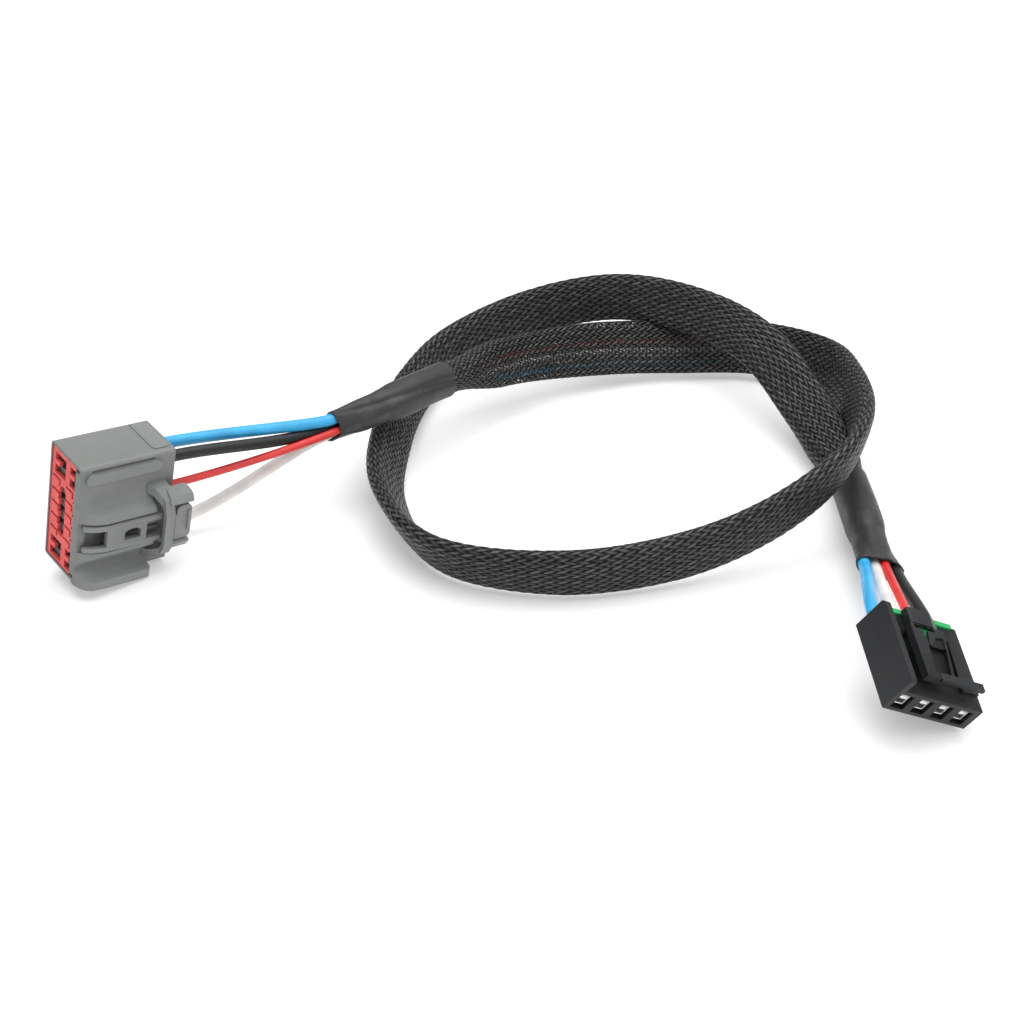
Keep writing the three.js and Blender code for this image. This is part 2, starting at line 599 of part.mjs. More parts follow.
function wirePointsInCable(colour) {
  return sectionDistances().map((distance) => {
    const { centre, down, face } = ribbonAt(distance);
    const [offsetDown, offsetFace] = bundleOffset(colour, distance);
    return centre.clone().addScaledVector(down, offsetDown).addScaledVector(face, offsetFace);
  });
}

// Points from one place to another that leave and arrive along given directions, ends left out.
function fan(from, fromDirection, to, toDirection, reach) {
  const curve = new THREE.CubicBezierCurve3(
    from,
    from.clone().addScaledVector(fromDirection, reach),
    to.clone().addScaledVector(toDirection, reach),
    to,
  );
  return curve.getPoints(FAN_STEPS).slice(1, -1);
}

// The whole centreline of a wire, starting and ending at a set distance behind each terminal's mouth.
function wirePath(colour, start) {
  const [y, z] = VEHICLE_EXIT[colour];
  const x = controllerCavityX(CONTROLLER_EXIT[colour]);
  const vehicleEnd = vehiclePlug.localToWorld(vector(VEHICLE_MOUTH + start, y, z));
  const vehicleExit = vehiclePlug.localToWorld(vector(V_LENGTH + 1, y, z));
  const controllerEnd = controllerPlug.localToWorld(vector(x, CONTROLLER_MOUTH + start, C_WIRE_Z));
  const controllerExit = controllerPlug.localToWorld(vector(x, C_LENGTH + 1, C_WIRE_Z));
  const cable = wirePointsInCable(colour);
  const first = ribbonAt(0).tangent;
  const last = ribbonAt(ROUTE_LENGTH).tangent;
  const vehicleBack = vehicleExit.clone().sub(vehicleEnd).normalize();
  const controllerBack = controllerExit.clone().sub(controllerEnd).normalize();
  return [
    vehicleEnd,
    vehicleExit,
    ...fan(vehicleExit, vehicleBack, cable[0], first.clone().negate(), VEHICLE_REACH),
    ...cable,
    ...fan(cable.at(-1), last, controllerExit, controllerBack, CONTROLLER_REACH),
    controllerExit,
    controllerEnd,
  ];
}

// Frames along a line of points, carried from each to the next without twisting.
function carriedFrames(points) {
  let across = vector(0, 0, 1);
  return points.map((point, index) => {
    const before = points[Math.max(index - 1, 0)];
    const after = points[Math.min(index + 1, points.length - 1)];
    const tangent = after.clone().sub(before).normalize();
    across = across.clone().addScaledVector(tangent, -across.dot(tangent)).normalize();
    return { centre: point, across, over: tangent.clone().cross(across) };
  });
}

function ring({ centre, across, over }, radius, sides) {
  return Array.from({ length: sides }, (_, index) => {
    const angle = 2 * Math.PI * index / sides;
    return centre.clone()
      .addScaledVector(across, radius * Math.cos(angle))
      .addScaledVector(over, radius * Math.sin(angle));
  });
}

// A tube wall: up the outside, down the inside, and back to the first outer section.
function tubeWall(outerSections, innerSections) {
  const loop = [...outerSections, ...innerSections.toReversed(), outerSections[0]];
  return new LoftGeometry(loop, { closed: true });
}

function wireJacket(colour) {
  const { outer, core, colour: paint } = WIRES[colour];
  const frames = carriedFrames(wirePath(colour, JACKET_START));
  const outside = frames.map((frame) => ring(frame, outer, WIRE_SIDES));
  const inside = frames.map((frame) => ring(frame, core + CORE_CLEARANCE, WIRE_SIDES));
  return piece(`${colour}_wire_insulation`, tubeWall(outside, inside), material(paint, 0.4));
}

function wireCore(colour) {
  const frames = carriedFrames(wirePath(colour, CORE_START));
  const sections = frames.map((frame) => ring(frame, WIRES[colour].core, CORE_SIDES));
  const geometry = new LoftGeometry(sections, { capStart: true, capEnd: true });
  return piece(`${colour}_wire_conductor`, geometry, COPPER());
}

// Outer width and thickness of the sleeve at a distance along the cable, and how square its oval is.
function sleeveSize(distance) {
  const inward = Math.min(distance, ROUTE_LENGTH - distance);
  const opening = smooth(inward, OPENING.from, OPENING.to);
  const flattening = smooth(inward, OPENING.to, OPENING.flat);
  const slack = 1.4 * (smooth(distance, 80, 120) - smooth(distance, 190, 240));
  const width = mix(mix(10, 15.3, opening), 15.4, flattening) + slack;
  const thick = mix(mix(10, 10.4, opening), 5.4, flattening);
  return { width, thick, power: mix(2, 2.8, opening) };
}

// One oval section: a superellipse across the ribbon's own axes.
function oval(distance, { width, thick, power }, inset) {
  const { centre, down, face } = ribbonAt(distance);
  return Array.from({ length: OVAL_SIDES }, (_, index) => {
    const angle = -2 * Math.PI * index / OVAL_SIDES;
    const rounded = (value) => Math.sign(value) * Math.abs(value) ** (2 / power);
    return centre.clone()
      .addScaledVector(down, (width / 2 - inset) * rounded(Math.cos(angle)))
      .addScaledVector(face, (thick / 2 - inset) * rounded(Math.sin(angle)));
  });
}

function ovalTube(name, distances, sizeAt, wall, surface) {
  const outside = distances.map((distance) => oval(distance, sizeAt(distance), 0));
  const inside = distances.map((distance) => oval(distance, sizeAt(distance), wall));
  return piece(name, tubeWall(outside, inside), surface);
}

function braidedSleeve() {
  const ends = [SLEEVE_START, ROUTE_LENGTH - SLEEVE_START];
  const between = sectionDistances().filter((distance) => distance > ends[0] + 2 && distance < ends[1] - 2);
  return ovalTube('braided_sleeve', [ends[0], ...between, ends[1]], sleeveSize, SLEEVE_WALL,
    material(0x1c1c1e, 0.75));
}

// A heat shrink: narrow over the bare wires, then stepping out over the end of the sleeve.
function heatShrink(name, fromVehicle) {
  const size = (inward) => {
    const rise = smooth(inward, SLEEVE_START - SHRINK_RISE, SLEEVE_START);
    const across = mix(SHRINK_ACROSS.bare, SHRINK_ACROSS.sleeved, rise);
    return { width: across, thick: across, power: 2 };
  };
  const place = (inward) => (fromVehicle ? inward : ROUTE_LENGTH - inward);
  const steps = Array.from({ length: SHRINK_STEPS + 1 }, (_, step) => SHRINK_LENGTH * step / SHRINK_STEPS);
  const distances = steps.map(place).sort((a, b) => a - b);
  const sizeAt = (distance) => size(place(distance));
  return ovalTube(name, distances, sizeAt, SHRINK_WALL, material(0x232427, 0.45));
}

// ---------- assembly ----------

function posed({ at, turn }) {
  const group = new THREE.Group();
  group.position.set(...at);
  group.rotation.set(...turn.map(radians), 'ZYX');
  return group;
}

const vehiclePlug = posed(VEHICLE_POSE);
vehiclePlug.add(vehicleHousing(), vehicleLock(), vehicleLatch());

const controllerPlug = posed(CONTROLLER_POSE);
controllerPlug.add(controllerHousing(), controllerLock(), controllerLatch());

vehiclePlug.updateMatrixWorld(true);
controllerPlug.updateMatrixWorld(true);

const harness = new THREE.Group();
harness.add(vehiclePlug, controllerPlug);

for (const [colour, { core }] of Object.entries(WIRES)) {
  const [y, z] = VEHICLE_EXIT[colour];
  const [width, height] = colour === 'red' ? [2.8, 2.2] : [3.6, 3.6];
  const inVehicle = terminal(`vehicle_terminal_${colour}`, width, height, core);
  inVehicle.position.set(VEHICLE_MOUTH, y, z);
  vehiclePlug.add(inVehicle);

  const inController = terminal(`controller_terminal_${colour}`, 2.8, 3.4, core);
  inController.position.set(controllerCavityX(CONTROLLER_EXIT[colour]), CONTROLLER_MOUTH, C_WIRE_Z);
  inController.rotation.z = Math.PI / 2;
  controllerPlug.add(inController);

  harness.add(wireJacket(colour), wireCore(colour));
}

harness.add(
  braidedSleeve(),
  heatShrink('heat_shrink_vehicle_end', true),
  heatShrink('heat_shrink_controller_end', false),
);

// Bring the middle of the footprint to the origin, with the lowest point on z = 0.
const extent = new THREE.Box3().setFromObject(harness, true);
const middle = extent.getCenter(new THREE.Vector3());
harness.position.set(-middle.x, -middle.y, -extent.min.z);

export default harness;
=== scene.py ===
"""Trailer brake controller harness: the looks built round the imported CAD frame.

The cable's visible pieces (wires, braid, heat shrinks) follow the CAD cable's route, in millimetres, and are
moved into the row frame by the plugs' mounts. The bend nearest the vehicle plug differs: there the ribbon
leans further over, and runs up to 1.5 mm inside the CAD's. The plugs are the CAD nodes themselves.
"""

import json
import math

import bpy
import numpy as np
from mathutils import Euler, Matrix, Vector


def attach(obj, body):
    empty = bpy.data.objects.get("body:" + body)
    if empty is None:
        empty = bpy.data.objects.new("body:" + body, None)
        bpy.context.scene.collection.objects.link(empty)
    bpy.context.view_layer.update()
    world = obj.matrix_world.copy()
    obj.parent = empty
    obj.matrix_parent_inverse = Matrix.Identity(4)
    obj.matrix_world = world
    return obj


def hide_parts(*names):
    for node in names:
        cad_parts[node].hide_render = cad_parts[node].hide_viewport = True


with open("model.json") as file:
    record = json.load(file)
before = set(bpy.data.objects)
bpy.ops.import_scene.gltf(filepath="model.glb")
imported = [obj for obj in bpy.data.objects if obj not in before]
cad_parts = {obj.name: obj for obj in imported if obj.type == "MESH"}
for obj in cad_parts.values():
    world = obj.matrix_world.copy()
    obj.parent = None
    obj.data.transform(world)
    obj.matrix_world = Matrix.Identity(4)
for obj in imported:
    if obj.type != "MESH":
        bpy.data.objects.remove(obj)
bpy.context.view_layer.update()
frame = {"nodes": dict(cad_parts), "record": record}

# ---------- dimensions of the cable and plugs, in millimetres ----------

MM = 0.001
RNG = np.random.default_rng(12)

VEHICLE_POSE = {"at": (-118.7, -26.1, 22.5), "turn": (7.3, 8.7, 40.6)}
CONTROLLER_POSE = {"at": (86.7, -93.6, 11.7), "turn": (17.1, 26.7, 14.9)}
VEHICLE_FACE = (0, -6.7, 0)             # the two mounts, in the plugs' own frames
CONTROLLER_FACE = (6.35, 0, 3.6)

# Stations of the cable's centreline: x, y, z, then the lean of the ribbon in degrees.
ROUTE = np.array([
    (-51.6, 19.5, 22, 0),
    (-34.5, 36.5, 21, 0),
    (-19, 56.2, 18.3, -12),
    (2.5, 75, 14.6, -28),
    (28.6, 88, 11.5, -32),
    (55.2, 94.5, 8.8, -32),
    (80, 94, 8.6, -30),
    (98, 79, 11, -20),
    (103, 51, 16.5, -14),
    (100.2, 20, 21, -14),
    (90, -1, 20, -10),
    (70, -15.5, 13, -6),
    (45, -26.5, 8.6, -4),
    (12, -33, 7.7, -10),
    (-20, -24, 7.7, -24),
    (-35.2, 6, 7.6, -36),
    (-35.9, 40, 7.6, -38),
    (-30.5, 68, 8, -30),
    (-19.4, 90.4, 10, -20),
    (6, 105, 16, -16),
    (34, 104.5, 22, -16),
    (58, 92, 23.4, -24),
    (77, 71, 21.5, -40),
    (89.5, 52.5, 11, -58),
    (96.5, 31, 5.4, -76),
    (98, 0, 5.8, -82),
    (97.4, -32.6, 8, -80),
])

OPEN_FROM, OPEN_TO, FLAT_FROM = 50, 70, 95      # where the bundle spreads and then lies flat
TURN_FROM, TURN_TO = 12, OPEN_FROM + 8          # where the bundle turns from either mouth's order
SLEEVE_START = 25
WIRE_RADIUS = {"blue": 1.68, "black": 1.68, "white": 1.68, "red": 1.13}
CORE_RADIUS = {"blue": 0.95, "black": 0.95, "white": 0.95, "red": 0.6}
CLUSTER = {"black": (-1.86, 0.6), "white": (1.86, 0.6), "red": (0, 3.14), "blue": (0, -2.54)}
SPREAD = {"black": (-4.3, -0.3), "white": (1.2, 1.5), "red": (-1.85, 2.8), "blue": (4, -2.3)}
RIBBON = {"black": (-4.9, 0), "red": (-1.85, 0), "white": (1.22, 0), "blue": (4.85, 0)}
BUNDLE_TURN = {"vehicle": -70, "controller": 73}

PLUG_LENGTH = {"vehicle": 27.8, "controller": 24.6}
JACKET_START = 13.8
CORE_START = 9.4
MOUTH = {"vehicle": 4.8, "controller": 0.8}
REACH = {"vehicle": 16, "controller": 7}
VEHICLE_EXIT = {"blue": (2.9, 12.6), "black": (-3.6, 12.6), "red": (-3.6, 3.3), "white": (2.9, -13.4)}
CONTROLLER_EXIT = {"blue": 3.3, "white": 9.4, "red": 15.5, "black": 21.6}
CONTROLLER_WIRE_Z = 3.7

# ---------- small helpers ----------


def smooth(value, low, high):
    share = np.clip((value - low) / (high - low), 0, 1)
    return share * share * (3 - 2 * share)


def mix(a, b, share):
    return a + (b - a) * share


def unit(vectors):
    return vectors / np.linalg.norm(vectors, axis=-1, keepdims=True)


def plug_matrix(pose):
    turn = Euler([math.radians(angle) for angle in pose["turn"]], "XYZ")
    return Matrix.Translation(pose["at"]) @ turn.to_matrix().to_4x4()


PLUGS = {"vehicle": plug_matrix(VEHICLE_POSE), "controller": plug_matrix(CONTROLLER_POSE)}


def row_shift():
    """How far the row frame's origin lies from the CAD cable's own, found from both plugs' mounts."""
    mounts = {mount["name"]: Vector(mount["pos_m"]) / MM for mount in frame["record"]["mounts"]}
    first = mounts["vehicle_plug_face"] - PLUGS["vehicle"] @ Vector(VEHICLE_FACE)
    second = mounts["controller_plug_face"] - PLUGS["controller"] @ Vector(CONTROLLER_FACE)
    if (first - second).length > 0.05:
        raise RuntimeError("the plugs' poses here don't match the packed record's mounts")
    return np.array(first)


SHIFT = row_shift()


def in_row(points):
    """Points of the CAD cable's frame, in the row frame and in metres."""
    return (np.asarray(points, float) + SHIFT) * MM


# ---------- the cable's route ----------

LAST = len(ROUTE) - 1


def route_points(stretch):
    """Centripetal Catmull-Rom points at stretches measured in stations."""
    points = ROUTE[:, :3]
    padded = np.vstack([2 * points[0] - points[1], points, 2 * points[-1] - points[-2]])
    index = np.clip(np.floor(stretch).astype(int), 0, LAST - 1)
    part = (stretch - index)[:, None]
    p0, p1, p2, p3 = (padded[index + step] for step in range(4))
    d0, d1, d2 = (
        np.sqrt(np.linalg.norm(b - a, axis=1, keepdims=True)) for a, b in ((p0, p1), (p1, p2), (p2, p3))
    )
    leave = ((p1 - p0) / d0 - (p2 - p0) / (d0 + d1) + (p2 - p1) / d1) * d1
    arrive = ((p2 - p1) / d1 - (p3 - p1) / (d1 + d2) + (p3 - p2) / d2) * d1
    square, cube = part**2, part**3
    return (
        (2 * cube - 3 * square + 1) * p1
        + (cube - 2 * square + part) * leave
        + (3 * square - 2 * cube) * p2
        + (cube - square) * arrive
    )


FINE = np.linspace(0, LAST, 8001)
FINE_STEPS = np.linalg.norm(np.diff(route_points(FINE), axis=0), axis=1)
FINE_LENGTHS = np.concatenate([[0], np.cumsum(FINE_STEPS)])
ROUTE_LENGTH = FINE_LENGTHS[-1]
TANGENT_STEP = 0.02                     # in stations, either side of a point


def ribbon_at(distances):
    """Centres and axes of the ribbon at distances along it: tangent, down its width, out of its face."""
    stretch = np.interp(distances, FINE_LENGTHS, FINE)
    centre = route_points(stretch)
    ahead = route_points(np.minimum(stretch + TANGENT_STEP, LAST))
    behind = route_points(np.maximum(stretch - TANGENT_STEP, 0))
    tangent = unit(ahead - behind)
    lean = np.radians(np.interp(stretch, np.arange(LAST + 1), ROUTE[:, 3]))[:, None]
    level = unit(-np.cross([0, 0, 1], tangent))
    upright = np.cross(level, tangent)
    down = -upright * np.cos(lean) - level * np.sin(lean)
    face = level * np.cos(lean) - upright * np.sin(lean)
    return centre, tangent, down, face


def inward(distances):
    return np.minimum(distances, ROUTE_LENGTH - distances)


def opening(distances):
    return smooth(inward(distances), OPEN_FROM, OPEN_TO)


def flattening(distances):
    return smooth(inward(distances), OPEN_TO, FLAT_FROM)


def bundle_offset(colour, distances):
    """Offset of a wire's centre from the centreline, as down and face, at each distance."""
    ends = np.where(distances < ROUTE_LENGTH / 2, BUNDLE_TURN["vehicle"], BUNDLE_TURN["controller"])
    turn = np.radians(ends) * (1 - smooth(inward(distances), TURN_FROM, TURN_TO))
    down, face = CLUSTER[colour]
    turned = (down * np.cos(turn) - face * np.sin(turn), down * np.sin(turn) + face * np.cos(turn))
    opened = [mix(turned[axis], SPREAD[colour][axis], opening(distances)) for axis in range(2)]
    return [mix(opened[axis], RIBBON[colour][axis], flattening(distances)) for axis in range(2)]


# ---------- meshes ----------


def mesh_from(name, vertices, quads, material, body="harness"):
    """A smooth-shaded mesh object of quads, riding on a CAD body."""
    mesh = bpy.data.meshes.new(name)
    mesh.from_pydata(vertices.tolist(), [], quads.tolist())
    mesh.polygons.foreach_set("use_smooth", np.ones(len(quads), bool))
    mesh.materials.append(material)
    mesh.update()
    made = bpy.data.objects.new(name, mesh)
    bpy.context.scene.collection.objects.link(made)
    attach(made, body)
    return made


def grid_quads(rows, columns, wrap_rows=False, wrap_columns=True):
    """Quads over a grid of points laid out row by row."""
    row = np.arange(rows if wrap_rows else rows - 1)
    column = np.arange(columns if wrap_columns else columns - 1)
    r, c = (grid.ravel() for grid in np.meshgrid(row, column, indexing="ij"))
    after_r, after_c = (r + 1) % rows, (c + 1) % columns
    here, there = r * columns, after_r * columns
    return np.stack([here + c, here + after_c, there + after_c, there + c], 1)


def carried_axes(points):
    """Two axes across a line of points, carried along it without twisting."""
    tangents = unit(np.gradient(points, axis=0))
    across = np.array([0.0, 0, 1])
    sides = []
    for tangent in tangents:
        across = unit(across - tangent * (across @ tangent))
        sides.append(across)
    sides = np.array(sides)
    return sides, np.cross(tangents, sides)


# ---------- materials ----------

CREST = "crest"                         # point attribute of the braid: painted light on each point of a yarn, high as a painted highlight on the crests of floats and low as painted shade at yarn edges and under floats
MIX_FACTOR, MIX_FIRST, MIX_SECOND, MIX_RESULT = 0, 6, 7, 2      # a Mix node's sockets when it mixes colours
BEVEL_SAMPLES = 6


def new_material(name):
    material = bpy.data.materials.new(name)
    material.use_nodes = True
    nodes = material.node_tree.nodes
    nodes.clear()
    shader = nodes.new("ShaderNodeBsdfPrincipled")
    output = nodes.new("ShaderNodeOutputMaterial")
    material.node_tree.links.new(shader.outputs["BSDF"], output.inputs["Surface"])
    return material, shader


def link(material, source, target):
    material.node_tree.links.new(source, target)


def noise(material, scale, detail=3.0, stretch=(1, 1, 1)):
    """A noise pattern in the row frame, with scale in cycles per metre."""
    nodes = material.node_tree.nodes
    place = nodes.new("ShaderNodeTexCoord")
    mapping = nodes.new("ShaderNodeMapping")
    mapping.inputs["Scale"].default_value = stretch
    pattern = nodes.new("ShaderNodeTexNoise")
    pattern.inputs["Scale"].default_value = scale
    pattern.inputs["Detail"].default_value = detail
    link(material, place.outputs["Object"], mapping.inputs["Vector"])
    link(material, mapping.outputs["Vector"], pattern.inputs["Vector"])
    return pattern.outputs["Fac"]


def spread(material, source, low, high, start=0.3, end=0.7):
    """A value between low and high, driven by a pattern."""
    node = material.node_tree.nodes.new("ShaderNodeMapRange")
    node.inputs["From Min"].default_value = start
    node.inputs["From Max"].default_value = end
    node.inputs["To Min"].default_value = low
    node.inputs["To Max"].default_value = high
    link(material, source, node.inputs["Value"])
    return node.outputs["Result"]


def colour_mix(material, source):
    """A Mix node for colours, driven by a value from 0 to 1."""
    node = material.node_tree.nodes.new("ShaderNodeMix")
    node.data_type = "RGBA"
    link(material, source, node.inputs[MIX_FACTOR])
    return node


def tint(material, source, dark, light):
    """A colour between dark and light, driven by a value from 0 to 1."""
    node = colour_mix(material, source)
    node.inputs[MIX_FIRST].default_value = (*dark, 1)
    node.inputs[MIX_SECOND].default_value = (*light, 1)
    return node.outputs[MIX_RESULT]


def bump(material, source, strength, depth, shader, edge_radius=0):
    node = material.node_tree.nodes.new("ShaderNodeBump")
    node.inputs["Strength"].default_value = strength
    node.inputs["Distance"].default_value = depth
    link(material, source, node.inputs["Height"])
    link(material, node.outputs["Normal"], shader.inputs["Normal"])
    if edge_radius:
        soft_edge = material.node_tree.nodes.new("ShaderNodeBevel")
        soft_edge.samples = BEVEL_SAMPLES
        soft_edge.inputs["Radius"].default_value = edge_radius
        link(material, soft_edge.outputs["Normal"], node.inputs["Normal"])


def worn_edges(material, low, high):
    """0 to 1 along convex edges."""
    geometry = material.node_tree.nodes.new("ShaderNodeNewGeometry")
    return spread(material, geometry.outputs["Pointiness"], 0, 1, low, high)


def moulded(name, colour, roughness=0.5, grain=0.25, wear=1.25, shine=0.45, edge_radius=0):
    """Injection-moulded plastic: fine spark texture, cloudy gloss, slightly paler along worn edges."""
    material, shader = new_material(name)
    cloud = noise(material, 90, 4)
    dark = tuple(channel * 0.9 for channel in colour)
    light = tuple(min(1, channel * 1.08) for channel in colour)
    body = tint(material, spread(material, cloud, 0, 1), dark, light)
    edge = colour_mix(material, worn_edges(material, 0.52, 0.62))
    link(material, body, edge.inputs[MIX_FIRST])
    edge.inputs[MIX_SECOND].default_value = (*(min(1, channel * wear + 0.004) for channel in colour), 1)
    link(material, edge.outputs[MIX_RESULT], shader.inputs["Base Color"])
    gloss = noise(material, 420, 3)
    link(material, spread(material, gloss, roughness - 0.07, roughness + 0.09), shader.inputs["Roughness"])
    shader.inputs["Specular IOR Level"].default_value = shine
    bump(material, noise(material, 5200, 2), grain, 0.00004, shader, edge_radius)
    return material


def insulation(name, colour, roughness=0.36, shine=0.5):
    """Extruded wire insulation: satin, with faint draw marks and handling dirt."""
    material, shader = new_material(name)
    dirt = noise(material, 160, 5)
    dark = tuple(channel * 0.82 for channel in colour)
    stain = spread(material, dirt, 0, 1, 0.35, 0.6)
    link(material, tint(material, stain, dark, colour), shader.inputs["Base Color"])
    link(material, spread(material, noise(material, 900, 3), roughness - 0.06, roughness + 0.1),
         shader.inputs["Roughness"])
    shader.inputs["Specular IOR Level"].default_value = shine
    bump(material, noise(material, 2600, 3), 0.12, 0.00005, shader)
    return material


def shrink_tube():
    """Polyolefin heat shrink: dark grey, satin, with a soft matte bloom and fine rubbing marks."""
    material, shader = new_material("shrink_tube")
    cloud = noise(material, 70, 5)
    colour = tint(material, spread(material, cloud, 0, 1), (0.021, 0.021, 0.0225), (0.035, 0.035, 0.0365))
    link(material, colour, shader.inputs["Base Color"])
    link(material, spread(material, noise(material, 380, 4), 0.42, 0.6), shader.inputs["Roughness"])
    shader.inputs["Specular IOR Level"].default_value = 0.5
    bump(material, noise(material, 1500, 4), 0.3, 0.00008, shader)
    return material


def braid_yarn():
    """Polyester monofilament: near-black, with a painted highlight and more specular on the crest of each
    float, and painted shade on the rest.
    """
    material, shader = new_material("braid_yarn")
    crest = material.node_tree.nodes.new("ShaderNodeAttribute")
    crest.attribute_name = CREST
    # noise that makes the painted highlight patchy along the yarns
    scuffed_highlight = spread(material, noise(material, 900, 3), 0.6, 1.25)
    lit = material.node_tree.nodes.new("ShaderNodeMath")
    lit.operation = "MULTIPLY"
    link(material, crest.outputs["Fac"], lit.inputs[0])
    link(material, scuffed_highlight, lit.inputs[1])
    level = lit.outputs["Value"]
    # painted light: the base colour goes from near-black painted shade to a dark grey painted highlight as
    # the crest value rises
    colour = tint(material, level, (0.002, 0.002, 0.0025), (0.078, 0.076, 0.074))
    link(material, colour, shader.inputs["Base Color"])
    link(material, spread(material, level, 0.1, 0.5, 0, 1), shader.inputs["Specular IOR Level"])
    link(material, spread(material, noise(material, 2400, 2), 0.28, 0.46), shader.inputs["Roughness"])
    bump(material, noise(material, 6000, 2), 0.2, 0.00003, shader)
    return material


def metal(name, colour, roughness):
    material, shader = new_material(name)
    smear = noise(material, 1200, 3, (1, 1, 4))
    dark = tuple(channel * 0.8 for channel in colour)
    link(material, tint(material, spread(material, smear, 0, 1), dark, colour), shader.inputs["Base Color"])
    shader.inputs["Metallic"].default_value = 1
    link(material, spread(material, noise(material, 3000, 2), roughness - 0.08, roughness + 0.1),
         shader.inputs["Roughness"])
    bump(material, noise(material, 4000, 2, (1, 1, 5)), 0.15, 0.00003, shader)
    return material


MATERIALS = {
    "grey_plastic": moulded("grey_plastic", (0.18, 0.187, 0.181), 0.5, 0.3, 1.2, 0.35, 0.0003),
    "red_plastic": moulded("red_plastic", (0.72, 0.075, 0.07), 0.48, 0.15, 1.15, 0.4, 0.00012),
    "black_plastic": moulded("black_plastic", (0.009, 0.0095, 0.0105), 0.42, 0.35, 2.0, 0.28, 0.00022),
    "green_plastic": moulded("green_plastic", (0.017, 0.36, 0.1), 0.45, 0.15, 1.15, 0.45, 0.00015),
    "tinned_metal": metal("tinned_metal", (0.86, 0.87, 0.88), 0.4),
    "copper": metal("copper", (0.75, 0.35, 0.18), 0.34),
    "blue_insulation": insulation("blue_insulation", (0.035, 0.42, 0.8)),
    "black_insulation": insulation("black_insulation", (0.013, 0.0135, 0.015), 0.4, 0.4),
    "white_insulation": insulation("white_insulation", (0.82, 0.79, 0.76)),
    "red_insulation": insulation("red_insulation", (0.7, 0.035, 0.03)),
    "braid": braid_yarn(),
    "shrink_tube": shrink_tube(),
}

# ---------- plugs: the CAD nodes, whose corners their material softens ----------

CORNER_ANGLE = math.radians(28)         # shallower edges are shaded as part of a curve
WELD_REACH = 0.002
FLAT_WEIGHT = 80                        # how far large faces lead the shading of their edges, in per cent


def shade_smoothly(node):
    """Shades a CAD node's curved walls smoothly with modifiers, and leaves its flats flat."""
    node.data.polygons.foreach_set("use_smooth", np.ones(len(node.data.polygons), bool))
    weld = node.modifiers.new("weld", "WELD")
    weld.merge_threshold = WELD_REACH * MM
    corners = node.modifiers.new("corners", "EDGE_SPLIT")
    corners.split_angle = CORNER_ANGLE
    normals = node.modifiers.new("normals", "WEIGHTED_NORMAL")
    normals.weight = FLAT_WEIGHT


def dress_cad():
    slots = {entry["node"]: entry["material_slot"] for entry in frame["record"]["subparts"]}
    for name, node in frame["nodes"].items():
        node.data.materials.clear()
        node.data.materials.append(MATERIALS[slots[name]])
        if "plug" in name:
            shade_smoothly(node)


# ---------- wires ----------

WIRE_SIDES = 18
CORE_SIDES = 10
CORE_TIP = 0.05                         # share of a conductor's radius left open in its end face
WIRE_SPACING = 2.2                      # millimetres between a wire's sections in the cable
FAN_SECTIONS = 22
BORE_SECTIONS = 5


def bezier(a, b, c, d, count):
    t = np.linspace(0, 1, count)[:, None]
    return (1 - t) ** 3 * a + 3 * (1 - t) ** 2 * t * b + 3 * (1 - t) * t**2 * c + t**3 * d


def plug_points(plug, colour, start):
    """Where a wire starts inside a plug and where it leaves it, in the cable's frame."""
    inside, outside = MOUTH[plug] + start, PLUG_LENGTH[plug] + 1
    if plug == "vehicle":
        y, z = VEHICLE_EXIT[colour]
        local = [(inside, y, z), (outside, y, z)]
    else:
        x = CONTROLLER_EXIT[colour]
        local = [(x, inside, CONTROLLER_WIRE_Z), (x, outside, CONTROLLER_WIRE_Z)]
    return [np.array(PLUGS[plug] @ Vector(point)) for point in local]


# Where each wire passes through the mouth of either heat shrink, as [down, face].
MOUTH_PLACE = {
    "vehicle": {"blue": (-2.5, 0.1), "black": (0.6, -1.2), "white": (3.5, -2.5), "red": (0.7, 1.75)},
    "controller": {"blue": (3.6, 2.6), "black": (-4.5, -0.8), "white": (0.75, 0.75), "red": (-1.9, 1.5)},
}
MOUTH_BLEND = {"vehicle": 14, "controller": 22}
MOUTH_REACH = {"blue": 6, "black": 16, "white": 16, "red": 16}    # straight run into the vehicle-end mouth
LEAVING = {"white": {"reach": 15, "drop": 5.5}}                     # a wire that droops as it leaves its plug
# Where wires lie pressed against the sleeve's front face, and how far each stays under the weave there.
PRESSED = {"from": 44, "to": 60, "until": 200, "away": 240}
UNDER_WEAVE = {"blue": 0.62, "black": 0.8, "white": 0.24, "red": 0.42}


def gathered(colour, distances):
    """A wire's offset from the centreline, gathered to its place where it passes through either mouth."""
    offset = bundle_offset(colour, distances)
    for plug, reached in (("vehicle", distances), ("controller", ROUTE_LENGTH - distances)):
        near = 1 - smooth(reached, 0, MOUTH_BLEND[plug])
        offset = [mix(value, place, near) for value, place in zip(offset, MOUTH_PLACE[plug][colour])]
    return offset


def pressed_forward(colour, distances, offset):
    """The wire's offset out of the ribbon's face, drawn to the sleeve's front where the cable sets out."""
    _, thick, _ = sleeve_size(distances)
    front = thick / 2 - SLEEVE_INSET - UNDER_WEAVE[colour] - WIRE_RADIUS[colour]
    share = smooth(distances, PRESSED["from"], PRESSED["to"])
    share = share - smooth(distances, PRESSED["until"], PRESSED["away"])
    return mix(offset, front, share)


